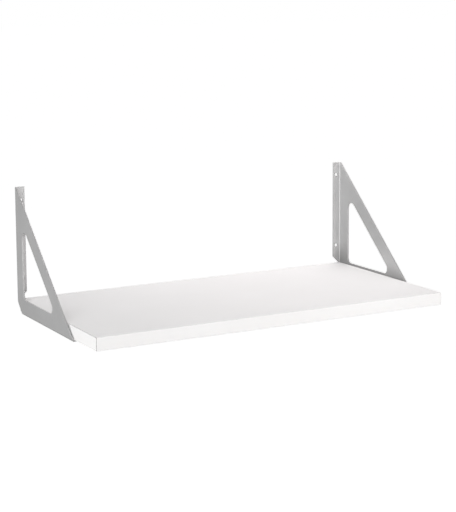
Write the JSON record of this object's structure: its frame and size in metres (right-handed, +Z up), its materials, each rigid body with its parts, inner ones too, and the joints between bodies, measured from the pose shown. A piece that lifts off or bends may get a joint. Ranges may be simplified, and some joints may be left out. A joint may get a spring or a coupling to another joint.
{
  "type": "wall shelf",
  "caption": "White board carried at its ends by folded grey sheet-metal triangle brackets that screw to a wall, with open windows in the brackets.",
  "frame": {"origin": "middle of the rectangle of the four wall holes, on the wall plane that the flanges' backs lie on", "axes": "+X to the right along the wall, +Y into the wall, +Z up"},
  "size_m": [0.6074, 0.3027, 0.2034],
  "materials": {
    "board_white": "satin white laminate",
    "edge_white": "satin white edge band",
    "chipboard": "raw chipboard, hidden",
    "bracket_grey": "satin silver-grey powder coat",
    "screw_steel": "zinc-plated"
  },
  "bodies": {
    "root": {"board_core": "chipboard", "top_facing": "board_white", "bottom_facing": "board_white", "front_edge_band": "edge_white", "back_edge_band": "edge_white", "left_edge_band": "edge_white", "right_edge_band": "edge_white", "left_bracket": "bracket_grey", "right_bracket": "bracket_grey", "left_front_shelf_screw": "screw_steel", "left_rear_shelf_screw": "screw_steel", "right_front_shelf_screw": "screw_steel", "right_rear_shelf_screw": "screw_steel"}
  },
  "joints": []
}
